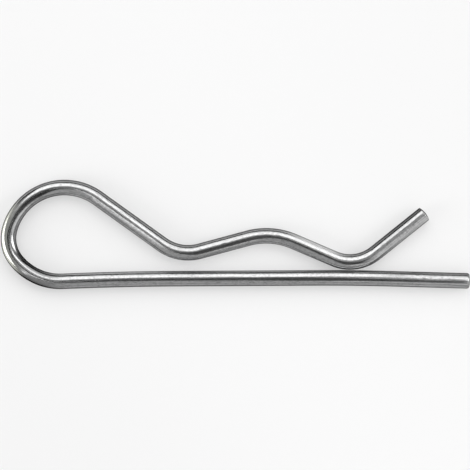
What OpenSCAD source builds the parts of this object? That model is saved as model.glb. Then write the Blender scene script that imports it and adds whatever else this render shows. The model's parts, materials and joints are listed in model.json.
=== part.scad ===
// Hitch pin clip, also called an R clip: one length of round spring wire, bent in one plane.
// The straight leg goes through the cross hole of a shaft, and the wavy leg snaps round the outside of it.
//
// It lies in the XY plane. X runs along the middle of the straight leg towards its free end, and Y points
// towards the wavy leg. The origin is where the axis of the gripped shaft crosses the axis of the leg.
// Reaches and places along the leg are counted from there. Bend radii are inside radii.

/* [Wire] */
// Diameter of the spring wire
wire_d = 3; // [2.6:0.1:3.4]
// How much thicker the wire stands where it is pressed round a former
bend_swell = 0.01; // [0.005:0.005:0.05]

/* [Cut ends] */
// How far the middle of a cut end stands proud of its edge
end_dome = 0.3; // [0.1:0.05:0.5]
// Rounding of the edge at the free end of the straight leg
leg_edge_round = 0.5; // [0.1:0.05:0.8]
// Rounding of the edge at the raised tip
tip_edge_round = 0.2; // [0.1:0.05:0.8]

/* [Straight leg] */
// Reach of the free end
leg_reach = 39.5; // [36:0.1:55]
// Straight stretch at the free end, up to the top of its dome
leg_end_straight = 15.3; // [8:0.1:18]
// Angle at which the free end leans away from the wavy leg, in degrees
leg_end_lean = 1.9; // [0.5:0.1:2.5]
// Radius of the slow bend into the free end
leg_end_bend_r = 450; // [200:10:500]

/* [Eye] */
// Reach of the eye, to its closed end
eye_reach = 51.3; // [48:0.1:70]
// Angle at which the leg leans outwards before the heel, in degrees
heel_lean = 1.8; // [0.5:0.1:3]
// Radius of the slow bend before the heel
heel_lean_bend_r = 600; // [200:10:650]
// Straight stretch before the heel
heel_straight = 3; // [1:0.5:6]
// Radius of the heel, where the leg turns up into the eye
heel_r = 9.4; // [8:0.1:11]
// Angle turned round the heel, in degrees
heel_turn = 53; // [46:1:60]
// Radius of the nose, at the closed end
nose_r = 5.3; // [4:0.1:8]
// Angle turned round the nose, in degrees
nose_turn = 55; // [48:1:62]
// Radius over the top of the eye
eye_top_r = 9.5; // [8:0.1:11]

/* [Wavy leg] */
// Distance of the neck from the shaft's axis, on the side of the eye
neck_back = 15; // [14:0.1:18]
// Gap between the neck and the straight leg
neck_gap = 2; // [1:0.1:3]
// Radius of the neck
neck_r = 7.2; // [5:0.1:9]
// Height of the seat's underside over the axis of the straight leg
seat_h = 6.7; // [5.5:0.1:8]
// Radius of the seat, the wave that hugs the shaft
seat_r = 12; // [8:0.1:13]
// Distance of the toe from the shaft's axis, on the side of the free end
toe_ahead = 16.3; // [15:0.1:20]
// Gap that the toe leaves to the straight leg at rest
toe_gap = 0.1; // [0.05:0.05:0.5]
// Radius of the toe
toe_r = 6.4; // [5:0.1:8]
// Angle of the raised tip to the straight leg, in degrees
tip_rise = 38.4; // [30:0.1:48]
// Straight length of the raised tip, up to the top of its dome
tip_straight = 12.4; // [8:0.1:16]

/* [Hidden] */
$fn = 64;

wire_r = wire_d / 2;

// A cut end is domed by a sphere, whose radius follows from the height of the dome over a sharp edge
end_dome_r = (pow(wire_r, 2) + pow(end_dome, 2)) / (2 * end_dome);

// Height of the top of a cut end over the line where its edge starts to round
function end_height(edge_round) =
    end_dome_r - sqrt(pow(end_dome_r - edge_round, 2) - pow(wire_r - edge_round, 2));

// Each bend is a hair thicker than the straights, and the nose a hair more again, so that neighbouring
// stretches of wire can run on into each other by a small lap: a length, and an angle where both are bent.
joint_lap = 0.05;
joint_lap_angle = 0.3;

// How much larger the rounding of a cut end is than one that would only touch the dome
rounding_lap = 0.002;

// The wire is followed from the free end of the straight leg to the raised tip. A heading is the angle of
// travel from +X. A bend is [centre, centreline radius], with the radius negative where it turns clockwise.
function left_bend(centre, inside_r) = [centre, inside_r + wire_r];
function right_bend(centre, inside_r) = [centre, -inside_r - wire_r];
function side(heading) = [sin(heading), -cos(heading)];

// Where the wire's axis has this heading on a bend
function on_bend(bend, heading) = bend[0] + bend[1] * side(heading);

// The centre of a bend with this centreline radius that takes over from another at a heading
function next_centre(bend, heading, radius) = on_bend(bend, heading) - radius * side(heading);

// The heading of the straight that leads from one bend to the next
function straight_heading(a, b) =
    let (gap = b[0] - a[0])
    atan2(gap.y, gap.x) + asin((a[1] - b[1]) / norm(gap));

// Straight leg: level in the middle, and leaning slightly outwards at both ends
leg_end_r = leg_end_bend_r + wire_r;
leg_end_heading = 180 - leg_end_lean;
leg_level = 180;
leg_end_bend_x = leg_reach - leg_end_straight * cos(leg_end_lean) - leg_end_r * sin(leg_end_lean);
leg_end_bend = left_bend([leg_end_bend_x, -leg_end_r], leg_end_bend_r);

// Height of the leg's axis at the toe, which may lie past the start of the slow bend
toe_on_bend = max(toe_ahead - leg_end_bend_x, 0);
leg_axis_at_toe = sqrt(pow(leg_end_r, 2) - pow(toe_on_bend, 2)) - leg_end_r;

// Eye: built from a heel bend that starts at x = 0, then moved so that the nose has its reach
heel_heading = leg_level + heel_lean;
nose_heading = heel_heading - heel_turn;
eye_top_heading = nose_heading - nose_turn;
heel_lean_r = heel_lean_bend_r + wire_r;
lean_at_0 = left_bend([0, -heel_lean_r], heel_lean_bend_r);
heel_start_at_0 = on_bend(lean_at_0, heel_heading) + heel_straight * [cos(heel_heading), sin(heel_heading)];
heel_at_0 = right_bend(heel_start_at_0 + (heel_r + wire_r) * side(heel_heading), heel_r);
nose_at_0 = right_bend(next_centre(heel_at_0, nose_heading, -nose_r - wire_r), nose_r);
eye_top_at_0 = right_bend(next_centre(nose_at_0, eye_top_heading, -eye_top_r - wire_r), eye_top_r);
eye_shift = [nose_r + wire_d - eye_reach - nose_at_0[0].x, 0];
heel_lean_bend = [lean_at_0[0] + eye_shift, lean_at_0[1]];
heel = [heel_at_0[0] + eye_shift, heel_at_0[1]];
nose = [nose_at_0[0] + eye_shift, nose_at_0[1]];
eye_top = [eye_top_at_0[0] + eye_shift, eye_top_at_0[1]];

// Wavy leg: the neck, the seat and the toe, each at its own height over the straight leg
neck = left_bend([-neck_back, wire_r + neck_gap + wire_d + neck_r], neck_r);
seat = right_bend([0, seat_h - seat_r], seat_r);
toe = left_bend([toe_ahead, leg_axis_at_toe + wire_r + toe_gap + wire_d + toe_r], toe_r);
ramp_heading = straight_heading(eye_top, neck);
climb_heading = straight_heading(neck, seat);
fall_heading = straight_heading(seat, toe);

// Every bend in order, with the heading at which the wire comes in, the one at which it leaves, and its
// swell. The heel and the top of the eye lap into the nose, which is between them.
bends = [
    [leg_end_bend, leg_end_heading, leg_level, bend_swell],
    [heel_lean_bend, leg_level, heel_heading, bend_swell],
    [heel, heel_heading, nose_heading - joint_lap_angle, bend_swell],
    [nose, nose_heading, eye_top_heading, 2 * bend_swell],
    [eye_top, eye_top_heading + joint_lap_angle, ramp_heading, bend_swell],
    [neck, ramp_heading, climb_heading, bend_swell],
    [seat, climb_heading, fall_heading, bend_swell],
    [toe, fall_heading, tip_rise, bend_swell],
];

// Every straight that leads from one bend to another, with its heading
straights = [
    [leg_end_bend, leg_level, heel_lean_bend],
    [heel_lean_bend, heel_heading, heel],
    [eye_top, ramp_heading, neck],
    [neck, climb_heading, seat],
    [seat, fall_heading, toe],
];

module bent_wire(bend, in_heading, out_heading, swell) {
    translate(bend[0]) rotate(min(in_heading, out_heading) - sign(bend[1]) * 90)
        rotate_extrude(angle = abs(out_heading - in_heading))
            translate([abs(bend[1]), 0]) circle(d = wire_d + swell);
}

// Straight wire from a bend to the next, lapping into both
module straight_wire(from_bend, heading, to_bend) {
    start = on_bend(from_bend, heading);
    length = norm(on_bend(to_bend, heading) - start);
    translate(start) rotate([0, 90, heading]) translate([0, 0, -joint_lap])
        cylinder(d = wire_d, h = length + 2 * joint_lap);
}

// Half the section of a cut end, from where its edge starts to round. The dome reaches out to the line
// through its own centre and the rounding's, and the rounding runs on under it by its lap.
module end_section(edge_round) {
    dome_y = end_height(edge_round) - end_dome_r;
    rounding = [wire_r - edge_round, 0];
    beyond = rounding + end_dome_r * [rounding.x, -dome_y] / (end_dome_r - edge_round);
    intersection() {
        translate([0, dome_y]) circle(r = end_dome_r);
        polygon([[0, 0], rounding, beyond, [0, beyond.y]]);
    }
    intersection() {
        translate([rounding.x - rounding_lap, 0]) circle(r = edge_round + rounding_lap);
        square([wire_r, edge_round + rounding_lap]);
    }
}

// Straight wire that laps into a bend at its start and is cut off at its far end
module end_wire(start, heading, length, edge_round) {
    round_start = length - end_height(edge_round);
    translate(start) rotate([0, 90, heading]) {
        translate([0, 0, -joint_lap]) cylinder(d = wire_d, h = joint_lap + round_start);
        translate([0, 0, round_start]) rotate_extrude() end_section(edge_round);
    }
}

module clip_wire() {
    color("silver") {
        end_wire(on_bend(leg_end_bend, leg_end_heading), leg_end_heading + 180, leg_end_straight,
            leg_edge_round);
        for (b = bends) bent_wire(b[0], b[1], b[2], b[3]);
        for (s = straights) straight_wire(s[0], s[1], s[2]);
        end_wire(on_bend(toe, tip_rise), tip_rise, tip_straight, tip_edge_round);
    }
}

clip_wire();
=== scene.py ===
"""A hitch pin clip of bright spring wire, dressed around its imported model. Lengths of the clip are in
millimetres where they are named, and in metres where they reach Blender."""

import json
import math

import bpy
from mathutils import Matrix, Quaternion, Vector


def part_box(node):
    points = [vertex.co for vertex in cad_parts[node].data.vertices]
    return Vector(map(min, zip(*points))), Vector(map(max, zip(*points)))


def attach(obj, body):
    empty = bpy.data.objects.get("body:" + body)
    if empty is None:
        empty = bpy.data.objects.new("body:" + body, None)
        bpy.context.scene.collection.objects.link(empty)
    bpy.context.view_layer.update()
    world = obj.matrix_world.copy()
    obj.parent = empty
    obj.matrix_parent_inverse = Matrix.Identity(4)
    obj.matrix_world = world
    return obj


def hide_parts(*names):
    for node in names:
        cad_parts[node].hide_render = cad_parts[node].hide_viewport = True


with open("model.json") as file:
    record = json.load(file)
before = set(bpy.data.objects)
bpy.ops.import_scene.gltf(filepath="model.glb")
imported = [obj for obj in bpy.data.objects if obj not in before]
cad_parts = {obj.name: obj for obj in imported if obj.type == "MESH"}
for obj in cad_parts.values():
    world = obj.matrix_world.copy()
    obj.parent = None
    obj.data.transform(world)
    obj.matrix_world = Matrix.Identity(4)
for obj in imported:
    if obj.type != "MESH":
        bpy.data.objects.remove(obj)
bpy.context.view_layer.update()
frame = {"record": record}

MM = 0.001
CLIP_LOW, CLIP_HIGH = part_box("clip_wire")
LEG_PIN = next(m for m in frame["record"]["mounts"] if m["name"] == "leg")

# The clip's own sizes, which are those of its solid
WIRE_D = 2 * LEG_PIN["dims"]["r_mm"]
WIRE_R = WIRE_D / 2
END_DOME, LEG_EDGE_ROUND, TIP_EDGE_ROUND = 0.3, 0.5, 0.2
LEG_REACH, LEG_END_STRAIGHT, LEG_END_LEAN, LEG_END_BEND_R = 39.5, 15.3, 1.9, 450
EYE_REACH, HEEL_LEAN, HEEL_LEAN_BEND_R, HEEL_STRAIGHT = 51.3, 1.8, 600, 3
HEEL_R, HEEL_TURN, NOSE_R, NOSE_TURN, EYE_TOP_R = 9.4, 53, 5.3, 55, 9.5
NECK_BACK, NECK_GAP, NECK_R = 15, 2, 7.2
SEAT_H, SEAT_R = 6.7, 12
TOE_AHEAD, TOE_GAP, TOE_R = 16.3, 0.1, 6.4
TIP_RISE, TIP_STRAIGHT = 38.4, 12.4

# How finely the wire is modelled: the points round it, the gaps between its rings and the most degrees from
# ring to ring. Straights, and bends that are slower than SLOW_BEND_R, take the wider gap.
AROUND = 64
RING_GAP = 0.35
STRAIGHT_RING_GAP = 1.0
SLOW_BEND_R = 100
MOST_RING_TURN = 3.0
ROUNDING_RINGS, DOME_RINGS = 8, 6


# ---------------------------------------------------------------- the wire's route

def way(heading):
    """The direction of travel at a heading, in degrees from +X."""
    return Vector((math.cos(math.radians(heading)), math.sin(math.radians(heading))))


def side(heading):
    """The direction to the right of travel."""
    return Vector((math.sin(math.radians(heading)), -math.cos(math.radians(heading))))


class Bend:
    """A bend by its centre and the radius of the wire's axis, which is negative where it turns clockwise."""

    def __init__(self, centre, radius):
        self.centre, self.radius = Vector(centre), radius

    def at(self, heading):
        """Where the wire's axis has this heading."""
        return self.centre + self.radius * side(heading)

    def next(self, heading, radius):
        """The bend of this radius that takes over at a heading."""
        return Bend(self.at(heading) - radius * side(heading), radius)


def heading_between(a, b):
    """The heading of the straight that leads from one bend to the next."""
    gap = b.centre - a.centre
    return math.degrees(math.atan2(gap.y, gap.x) + math.asin((a.radius - b.radius) / gap.length))


def end_profile(edge_round):
    """The section of a cut end, from where its edge starts to round to the middle of its dome: the radius of
    each ring and its place along the wire."""
    dome_r = (WIRE_R ** 2 + END_DOME ** 2) / (2 * END_DOME)
    rim = WIRE_R - edge_round
    dome_angle = math.asin(rim / (dome_r - edge_round))
    dome_middle = -(dome_r - edge_round) * math.cos(dome_angle)
    rings = []
    for i in range(1, ROUNDING_RINGS + 1):
        a = (math.pi / 2 - dome_angle) * i / ROUNDING_RINGS
        rings.append((rim + edge_round * math.cos(a), edge_round * math.sin(a)))
    for i in range(1, DOME_RINGS + 1):
        a = dome_angle * (1 - i / DOME_RINGS)
        rings.append((dome_r * math.sin(a), dome_middle + dome_r * math.cos(a)))
    return rings


def end_height(edge_round):
    """How far the middle of the dome is past the line where the edge starts to round."""
    return end_profile(edge_round)[-1][1]


def route():
    """The wire from the free end of the leg to the raised tip, as straights (start, heading, length) and
    bends (bend, heading in, heading out). It leaves out the rounded part of both ends."""
    leg_bend_r = LEG_END_BEND_R + WIRE_R
    leg_bend_x = LEG_REACH - LEG_END_STRAIGHT * way(LEG_END_LEAN).x - leg_bend_r * way(90 - LEG_END_LEAN).x
    leg_bend = Bend((leg_bend_x, -leg_bend_r), leg_bend_r)
    leg_heading = 180 - LEG_END_LEAN
    past_bend = max(TOE_AHEAD - leg_bend_x, 0)
    leg_axis_at_toe = math.sqrt(leg_bend_r ** 2 - past_bend ** 2) - leg_bend_r

    heel_heading = 180 + HEEL_LEAN
    nose_heading = heel_heading - HEEL_TURN
    top_heading = nose_heading - NOSE_TURN
    lean_r = HEEL_LEAN_BEND_R + WIRE_R
    lean = Bend((0, -lean_r), lean_r)
    heel_start = lean.at(heel_heading) + HEEL_STRAIGHT * way(heel_heading)
    heel = Bend(heel_start + (HEEL_R + WIRE_R) * side(heel_heading), -HEEL_R - WIRE_R)
    nose = heel.next(nose_heading, -NOSE_R - WIRE_R)
    top = nose.next(top_heading, -EYE_TOP_R - WIRE_R)
    shift = Vector((NOSE_R + WIRE_D - EYE_REACH - nose.centre.x, 0))
    for bend in (lean, heel, nose, top):
        bend.centre += shift

    neck = Bend((-NECK_BACK, WIRE_R + NECK_GAP + WIRE_D + NECK_R), NECK_R + WIRE_R)
    seat = Bend((0, SEAT_H - SEAT_R), -SEAT_R - WIRE_R)
    toe = Bend((TOE_AHEAD, leg_axis_at_toe + WIRE_R + TOE_GAP + WIRE_D + TOE_R), TOE_R + WIRE_R)
    ramp, climb, fall = heading_between(top, neck), heading_between(neck, seat), heading_between(seat, toe)

    def straight(a, heading, b):
        return "straight", a.at(heading), heading, (b.at(heading) - a.at(heading)).length

    leg_length = LEG_END_STRAIGHT - end_height(LEG_EDGE_ROUND)
    return [
        ("straight", leg_bend.at(leg_heading) - leg_length * way(leg_heading), leg_heading, leg_length),
        ("bend", leg_bend, leg_heading, 180),
        straight(leg_bend, 180, lean),
        ("bend", lean, 180, heel_heading),
        straight(lean, heel_heading, heel),
        ("bend", heel, heel_heading, nose_heading),
        ("bend", nose, nose_heading, top_heading),
        ("bend", top, top_heading, ramp),
        straight(top, ramp, neck),
        ("bend", neck, ramp, climb),
        straight(neck, climb, seat),
        ("bend", seat, climb, fall),
        straight(seat, fall, toe),
        ("bend", toe, fall, TIP_RISE),
        ("straight", toe.at(TIP_RISE), TIP_RISE, TIP_STRAIGHT - end_height(TIP_EDGE_ROUND)),
    ]


def unbent(route_of_wire, point):
    """A point of the surface as it lay before the wire was bent: left of travel, up, and along the wire."""
    best, gone = None, 0
    for kind, first, heading, last in route_of_wire:
        flat = Vector(point[:2])
        if kind == "straight":
            off, length = flat - first, last
            along, left = off.dot(way(heading)), -off.dot(side(heading))
        else:
            off, length = flat - first.centre, abs(math.radians(last - heading) * first.radius)
            turn = math.copysign(1, first.radius)
            here = math.degrees(math.atan2(off.y, off.x)) + 90 * turn
            swept = ((here - heading) * turn + 90) % 360 - 90
            along, left = math.radians(swept) * abs(first.radius), (abs(first.radius) - off.length) * turn
        miss = max(abs(left) - WIRE_R, 0) + max(-along, along - length, 0)
        if best is None or (miss, abs(left)) < best[0]:
            best = (round(miss, 4), abs(left)), (left, point[2], gone + along)
        gone += length
    return best[1]


# ---------------------------------------------------------------- the wire's mesh

def flat_point(v):
    """A point or a move in the plane of the clip, in metres."""
    return Vector((v.x, v.y, 0)) * MM


def push_straight(heading, length):
    """The open end ring is pulled on in a straight line."""
    steps = max(1, round(length / STRAIGHT_RING_GAP))
    step = way(heading) * length / steps
    for _ in range(steps):
        bpy.ops.mesh.extrude_region_move(TRANSFORM_OT_translate={"value": flat_point(step)})


def push_round(bend, heading_in, heading_out):
    """The open end ring is spun round a bend. The tool turns clockwise about its axis, so the axis points
    down."""
    turn = heading_out - heading_in
    length = abs(math.radians(turn) * bend.radius)
    gap = RING_GAP if abs(bend.radius) < SLOW_BEND_R else STRAIGHT_RING_GAP
    steps = max(round(length / gap), math.ceil(abs(turn) / MOST_RING_TURN))
    bpy.ops.mesh.spin(steps=steps, dupli=False, angle=math.radians(turn), use_auto_merge=False,
                      center=flat_point(bend.centre), axis=(0, 0, -1))


def close_end(centre, heading, edge_round):
    """The open end ring is drawn in over the rounded edge and the dome of the cut, and closed in the
    middle."""
    ring_r, ring_along = WIRE_R, 0
    for r, along in end_profile(edge_round):
        bpy.ops.mesh.extrude_region_move(
            TRANSFORM_OT_translate={"value": flat_point(way(heading) * (along - ring_along))})
        if r > 0:
            bpy.ops.transform.resize(value=(r / ring_r,) * 3,
                                     center_override=flat_point(centre + way(heading) * along))
        ring_r, ring_along = r, along
    bpy.ops.mesh.merge(type="CENTER")


def bend_wire(route_of_wire):
    """One length of wire, pushed through the bender: a ring of edges that is pulled straight and spun in
    turn, and then drawn in at both ends."""
    bpy.ops.object.select_all(action="DESELECT")
    _, leg_end, leg_heading, _ = route_of_wire[0]
    bpy.ops.mesh.primitive_circle_add(vertices=AROUND, radius=WIRE_R * MM, fill_type="NOTHING",
                                      location=flat_point(leg_end),
                                      rotation=(0, math.pi / 2, math.radians(leg_heading)))
    wire = bpy.context.object
    wire.name = wire.data.name = "bent_wire"
    bpy.ops.object.transform_apply(location=True, rotation=True, scale=True)
    bpy.ops.object.mode_set(mode="EDIT")
    bpy.ops.mesh.select_mode(type="EDGE")
    bpy.ops.mesh.select_all(action="SELECT")
    for kind, first, heading, last in route_of_wire:
        if kind == "straight":
            push_straight(heading, last)
        else:
            push_round(first, heading, last)
    _, tip_start, tip_heading, tip_length = route_of_wire[-1]
    close_end(tip_start + tip_length * way(tip_heading), tip_heading, TIP_EDGE_ROUND)
    bpy.ops.mesh.select_all(action="DESELECT")
    bpy.ops.mesh.select_non_manifold()
    close_end(leg_end, leg_heading + 180, LEG_EDGE_ROUND)
    bpy.ops.mesh.select_all(action="SELECT")
    bpy.ops.mesh.normals_make_consistent(inside=False)
    bpy.ops.object.mode_set(mode="OBJECT")
    return wire


def lay_out_surface(wire, route_of_wire):
    """Keeps where each point of the surface lay before bending, so that its marks follow the wire."""
    straightened = wire.data.attributes.new("unbent", "FLOAT_VECTOR", "POINT")
    for vertex, kept in zip(wire.data.vertices, straightened.data):
        kept.vector = Vector(unbent(route_of_wire, vertex.co / MM)) * MM


# ---------------------------------------------------------------- shader maths

class Socket:
    """A value in a node tree, so that shader maths reads as plain Python."""

    def __init__(self, tree, socket):
        self.tree, self.socket = tree, socket

    def maths(self, operation, *values):
        return make(self.tree, "ShaderNodeMath", {"operation": operation}, dict(enumerate(values)))

    def __add__(self, other): return self.maths("ADD", self, other)
    def __radd__(self, other): return self.maths("ADD", other, self)
    def __sub__(self, other): return self.maths("SUBTRACT", self, other)
    def __rsub__(self, other): return self.maths("SUBTRACT", other, self)
    def __mul__(self, other): return self.maths("MULTIPLY", self, other)
    def __rmul__(self, other): return self.maths("MULTIPLY", other, self)
    def __truediv__(self, other): return self.maths("DIVIDE", self, other)
    def __pow__(self, other): return self.maths("POWER", self, other)

    def parts(self):
        """X, Y and Z of a vector."""
        node = add_node(self.tree, "ShaderNodeSeparateXYZ", {}, {"Vector": self})
        return [Socket(self.tree, output) for output in node.outputs]

    def step(self, low, high):
        """0 below low, 1 above high, and smooth between."""
        return make(self.tree, "ShaderNodeMapRange", {"interpolation_type": "SMOOTHSTEP"},
                    {"Value": self, "From Min": low, "From Max": high})


def put(tree, slot, value):
    """Links a socket's value, or sets a plain one."""
    if isinstance(value, Socket):
        tree.links.new(value.socket, slot)
    else:
        slot.default_value = value


def add_node(tree, kind, settings, sockets):
    """A node of this type with its settings, and then the values or links of its sockets."""
    node = tree.nodes.new(kind)
    for name, value in settings.items():
        setattr(node, name, value)
    for name, value in sockets.items():
        put(tree, node.inputs[name], value)
    return node


def make(tree, kind, settings, sockets, output=0):
    """The value that such a node gives."""
    return Socket(tree, add_node(tree, kind, settings, sockets).outputs[output])


def mix_colour(tree, share, a, b):
    """Colour a where share is 0, and colour b where it is 1. A Mix node takes colours in sockets 6 and 7, and
    gives one from output 2."""
    return make(tree, "ShaderNodeMix", {"data_type": "RGBA"}, {0: share, 6: a, 7: b}, output=2)


def new_material(name):
    material = bpy.data.materials.new(name)
    material.use_nodes = True
    return material, material.node_tree, material.node_tree.nodes["Principled BSDF"]


def dress(tree, shader, **values):
    """Sets the shader's sockets by name, with _ for a space."""
    for name, value in values.items():
        put(tree, shader.inputs[name.replace("_", " ")], value)


def grey(shade):
    """A grey from 0 for black to 1 for white."""
    return shade, shade, shade, 1


# ---------------------------------------------------------------- finishes

# The plated wire, plain and with a painted warm tint, the painted sheen on its scuffs and the painted
# highlight on the nose
PLATING, PAINTED_WARM_TINT = (0.52, 0.522, 0.524, 1), (0.52, 0.53, 0.48, 1)
PAINTED_SHEEN_ON_SCUFFS, PAINTED_HIGHLIGHT_COLOUR = grey(0.76), (0.8, 0.81, 0.73, 1)
CUT_STEEL = grey(0.50)
# Marks on the plated wire, with the darkest colour used also for the painted shade on its sides
DRAWN_STREAK, SPECK, FLECK, TOOL_MARK_AND_PAINTED_SHADE = (0.32, 0.322, 0.325, 1), grey(0.33), grey(0.17), grey(0.06)
MARK_DEPTH = 0.0035


def bright_wire():
    """Bright drawn spring wire, with streaks, speckle and flecks along it. Its sides carry painted shade,
    most of all round the heel, in the eye and at the raised tip, and there are chatter marks on the ramp and
    the tip.
    The outside of the nose carries a painted highlight and a painted warm tint. The outer side between the
    seat and the toe, and the inner side of the tip, are scuffed rougher and lightened by a painted sheen. The
    free end of the leg is duller, and the cut faces have the marks of the shear."""
    material, tree, shader = new_material("bright_wire")
    place = make(tree, "ShaderNodeAttribute", {"attribute_name": "unbent"}, {}, output=1)
    left, up, along = (part / MM for part in place.parts())
    right = 0 - left

    def pattern(across, along_wire, detail=2.0, up_wire=None):
        """Noise whose features have these sizes in millimetres."""
        sizes = (across, up_wire or across, along_wire)
        scaled = make(tree, "ShaderNodeMapping", {"vector_type": "POINT"},
                      {"Vector": place, "Scale": tuple(1 / (size * MM) for size in sizes)})
        return make(tree, "ShaderNodeTexNoise", {"noise_dimensions": "3D"},
                    {"Vector": scaled, "Scale": 1.0, "Detail": detail, "Roughness": 0.55})

    def stretch(fade_in, start, end, fade_out):
        """1 from start to end, in millimetres along the wire, and 0 beyond the fades."""
        return along.step(fade_in, start) * (1 - along.step(end, fade_out))

    def outer(none, full):
        """The outer side of the clip's outline, from 0 to 1 between these shares of the wire's radius."""
        return left.step(none * WIRE_R, full * WIRE_R)

    def inner(none, full):
        """The same on the side of the clip's inside."""
        return right.step(none * WIRE_R, full * WIRE_R)

    streaks = pattern(0.2, 6.0)
    long_streaks = pattern(0.6, 30.0)
    speckle = pattern(0.26, 0.5, detail=3.0)
    flecks = pattern(0.2, 1.1, detail=3.0)
    chatter = pattern(1.2, 0.24)
    uneven = pattern(5.0, 14.0).step(0.4, 0.6)
    shear_marks = pattern(2.5, 2.5, up_wire=0.12)

    leg_end = stretch(-2, -1, 10, 24)
    heel = stretch(77, 83, 88, 94)
    eye = stretch(80, 86, 106, 114)
    nose = stretch(85, 90, 95, 101)
    ramp = stretch(112, 118, 128, 134)
    fall = stretch(154, 160, 165, 170)
    tip = stretch(168, 182, 190, 192)
    cut_face = 1 - ((left ** 2 + up ** 2) ** 0.5).step(0.7 * WIRE_R, 0.9 * WIRE_R)

    # The plated wire with a painted warm tint on the nose's outside, and what the drawing die left on it
    plating_with_painted_tint = mix_colour(tree, nose * outer(-0.4, 0.4), PLATING, PAINTED_WARM_TINT)
    streak = (streaks * 0.6 + long_streaks * 0.4).step(0.4, 0.6)
    drawn = mix_colour(tree, streak * (0.35 + leg_end * 0.4 + uneven * 0.25), plating_with_painted_tint, DRAWN_STREAK)
    speckled = mix_colour(tree, speckle.step(0.45, 0.65) * 0.6, drawn, SPECK)
    flecked = mix_colour(tree, flecks.step(0.56, 0.68) * (0.45 + uneven * 0.35), speckled, FLECK)

    # Painted shade on the sides, outside and inside: along the rims, round the nose, round the heel, in the
    # eye,
    #     # at the raised tip and at the free end of the leg. The chatter marks on the ramp and the tip share
    #     its dark colour.
    painted_rim_shade = outer(0.5, 0.85) * (0.42 - leg_end * 0.3 + tip * 0.4) * (1 - fall) * (1 - nose)
    painted_nose_rim_shade = outer(0.78, 0.92) * nose * 0.9
    painted_heel_shade = heel * (outer(-0.05, 0.25) * 0.35 + outer(0.5, 0.9) * 0.3)
    painted_inner_shade = inner(0.25, 0.5) * heel * 0.6 + inner(0.55, 0.8) * (eye * 0.45 + leg_end * 0.4)
    chattered = chatter.step(0.45, 0.6) * inner(-0.1, 0.3) * (ramp + tip) * 0.22
    marked_and_shaded = mix_colour(tree, painted_rim_shade + painted_nose_rim_shade + painted_heel_shade + painted_inner_shade + chattered, flecked, TOOL_MARK_AND_PAINTED_SHADE)

    # The painted highlight on the nose's outside, short of the rim, and the scuffs with their painted sheen
    painted_nose_highlight = nose * outer(0.4, 0.65) * (1 - outer(0.82, 0.94))
    # The scuffed sides are rougher, and their lighter colour is a painted sheen
    scuffed_fall_with_sheen = outer(0.3, 0.65) * (1 - outer(0.8, 0.98) * 0.7) * fall
    scuffed_tip_with_sheen = inner(0.3, 0.6) * (1 - inner(0.82, 0.97)) * tip * 0.6
    scuff_and_painted_sheen = scuffed_fall_with_sheen + scuffed_tip_with_sheen
    with_painted_highlight = mix_colour(tree, painted_nose_highlight * 0.9, marked_and_shaded, PAINTED_HIGHLIGHT_COLOUR)
    with_painted_sheen = mix_colour(tree, scuff_and_painted_sheen * (0.9 - streak * 0.3), with_painted_highlight, PAINTED_SHEEN_ON_SCUFFS)

    height = streaks * 0.6 + long_streaks * 0.4 + speckle * 0.6 + flecks * 0.2 + shear_marks * cut_face * 1.5
    bump = make(tree, "ShaderNodeBump", {}, {"Strength": 1.0, "Distance": MARK_DEPTH * MM, "Height": height})
    dull = speckle * 0.06 + uneven * 0.04 + leg_end * 0.05 + scuff_and_painted_sheen * 0.3 + cut_face * 0.14
    dress(tree, shader, Base_Color=mix_colour(tree, cut_face, with_painted_sheen, CUT_STEEL), Metallic=1.0,
          Specular_Tint=grey(0.0), Roughness=0.11 + dull, Normal=bump)
    return material


# ---------------------------------------------------------------- the studio

def matt(name, shade):
    """A plain matt grey."""
    material, tree, shader = new_material(name)
    dress(tree, shader, Base_Color=grey(shade), Roughness=0.9, Specular_IOR_Level=0.0)
    return material


def pale_table(shade, lift):
    """Matt, and paler to the camera and in the metal than the lamps make it, by an even lift."""
    material, tree, shader = new_material("pale_table")
    rays = add_node(tree, "ShaderNodeLightPath", {}, {}).outputs
    camera, glossy, transmission = (Socket(tree, rays[f"Is {kind} Ray"])
                                    for kind in ("Camera", "Glossy", "Transmission"))
    shown = 1 - (1 - camera) * (1 - glossy) * (1 - transmission)
    dress(tree, shader, Base_Color=grey(shade), Roughness=0.9, Specular_IOR_Level=0.0,
          Emission_Color=shown * lift, Emission_Strength=1.0)
    return material


def sheet_of(name, size, material, location=(0, 0, 0)):
    """A flat sheet that isn't part of the clip."""
    bpy.ops.object.select_all(action="DESELECT")
    bpy.ops.mesh.primitive_plane_add(size=1, location=location)
    sheet = bpy.context.object
    sheet.name = name
    sheet.scale = (*size, 1)
    bpy.ops.object.transform_apply(location=False, rotation=False, scale=True)
    sheet.data.materials.append(material)
    return sheet


def hang(thing, middle, turn, tilt, distance, roll):
    """Hangs a lamp or a card so that it faces the middle of the clip. turn is its direction from +X and tilt
    its angle from straight above, both in degrees, and roll turns it in its own plane."""
    flat, up = way(turn) * math.sin(math.radians(tilt)), math.cos(math.radians(tilt))
    away = Vector((flat.x, flat.y, up))
    thing.location = middle + away * distance
    thing.rotation_mode = "QUATERNION"
    thing.rotation_quaternion = away.to_track_quat("Z", "Y") @ Quaternion((0, 0, 1), math.radians(roll))


def softbox(name, size, level, *hung):
    """A rectangular lamp. level is its brightness, at which 1 is white."""
    bpy.ops.object.light_add(type="AREA")
    lamp = bpy.context.object
    lamp.name = name
    lamp.data.shape = "RECTANGLE"
    lamp.data.size, lamp.data.size_y = size
    lamp.data.energy = level * math.pi * size[0] * size[1]
    hang(lamp, *hung)


def card(name, size, material, *hung):
    """A card that shades the clip and shows in it, but that the camera itself doesn't see."""
    sheet = sheet_of(name, size, material)
    sheet.visible_camera = False
    hang(sheet, *hung)


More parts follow.
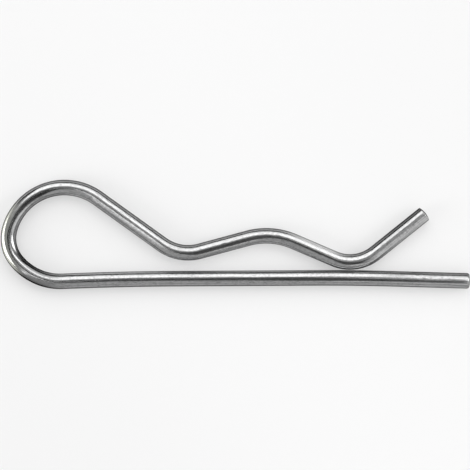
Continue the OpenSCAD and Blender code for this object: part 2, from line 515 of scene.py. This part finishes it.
def studio(middle):
    """A pale table, soft lamps on three sides and dim walls, with dark cards over the clip and behind the
    table. Sizes are in metres, and each lamp or card ends with its turn, tilt, distance and roll."""
    sheet_of("table", (6, 6), pale_table(0.5, lift=0.42), location=(middle.x, middle.y, CLIP_LOW.z))

    softbox("key_softbox", (1.25, 0.92), 1.65, middle, 90, 47, 1, -4)
    softbox("left_softbox", (2.0, 0.5), 3.6, middle, 177, 88, 1, 44)
    softbox("right_softbox", (0.37, 0.73), 4.0, middle, 13, 69, 1, 31)
    softbox("low_left_strip", (0.06, 1.0), 1.9, middle, 226, 33, 1, 2)
    softbox("high_right_strip", (0.12, 0.45), 2.4, middle, 41, 25, 1, 24)
    softbox("front_reflector", (0.17, 0.16), 0.5, middle, -45, 53, 0.2, 33)

    black, dark = matt("black_card", 0.04), matt("dark_card", 0.18)
    card("overhead_card", (2.19, 0.44), black, middle, 287, 27, 1.36, -72)
    card("near_card", (0.053, 0.14), dark, middle, 289, 20, 0.15, 3)
    card("back_card", (2.8, 1.3), black, middle, 94, 80, 1.3, -12)

    world = bpy.data.worlds.new("dim_walls")
    bpy.context.scene.world = world
    world.use_nodes = True
    background = world.node_tree.nodes["Background"]
    background.inputs["Color"].default_value = grey(1)
    background.inputs["Strength"].default_value = 0.55


def look_down():
    """The camera stands half a metre straight above the table. Its view is hardly wider than the clip, which
    lies turned in it by a third of a degree."""
    distance, sensor = 0.5, 36
    view_width, view_middle, roll = 90.97, Vector((-5.95, 8.39)), -0.32
    bpy.ops.object.camera_add(location=flat_point(view_middle) + Vector((0, 0, distance)),
                              rotation=(0, 0, math.radians(roll)))
    camera = bpy.context.object
    camera.name = "camera"
    camera.data.sensor_width = sensor
    camera.data.lens = sensor * distance / (view_width * MM)
    camera.data.clip_start, camera.data.clip_end = 0.01, 20
    bpy.context.scene.camera = camera


# ---------------------------------------------------------------- the scene

wire_route = route()
wire = bend_wire(wire_route)
lay_out_surface(wire, wire_route)
bpy.ops.object.shade_smooth()
wire.data.materials.append(bright_wire())
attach(wire, "root")
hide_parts("clip_wire")

middle = (CLIP_LOW + CLIP_HIGH) / 2
studio(middle)
look_down()
bpy.context.scene.view_settings.view_transform = "Standard"
